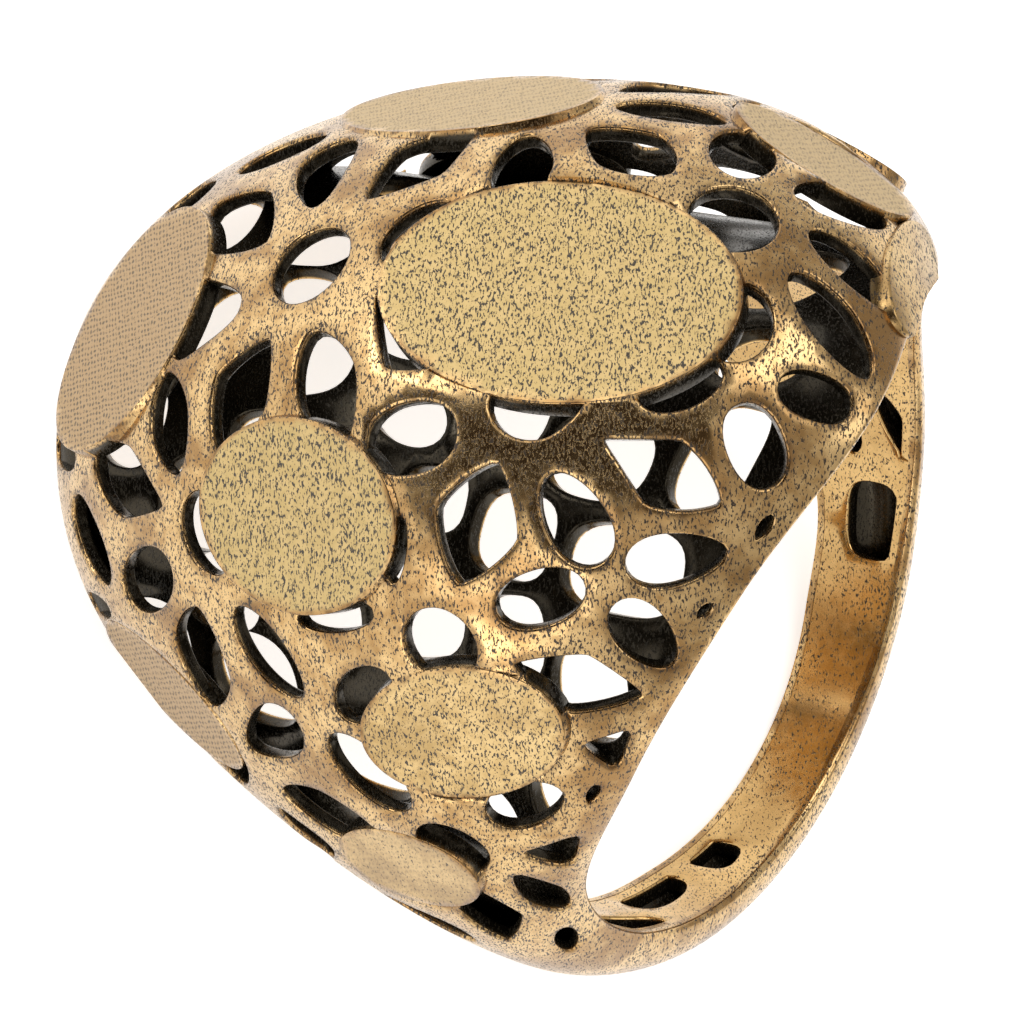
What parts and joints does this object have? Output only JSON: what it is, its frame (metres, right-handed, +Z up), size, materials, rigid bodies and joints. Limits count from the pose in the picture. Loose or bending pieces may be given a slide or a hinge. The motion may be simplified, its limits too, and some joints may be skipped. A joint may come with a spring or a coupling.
{
  "type": "openwork ring",
  "caption": "Domed finger ring in cast metal, its dome shell pierced with ovals, crescents and kites round flat oval plates, over a lattice finger wall.",
  "frame": {"origin": "middle of the ring's bounding box at the surface it lies on", "axes": "+Z up from the surface; +X across the finger hole from side to side; the dome stands on the +Y side and the shank on the -Y side, with the ring lying on its far rim"},
  "size_m": [0.0221, 0.0247, 0.0207],
  "materials": {
    "metal": "antiqued brass, satin on the dome with dark pits, glossy inside the shank"
  },
  "bodies": {
    "root": {"ring": "metal"}
  },
  "joints": []
}
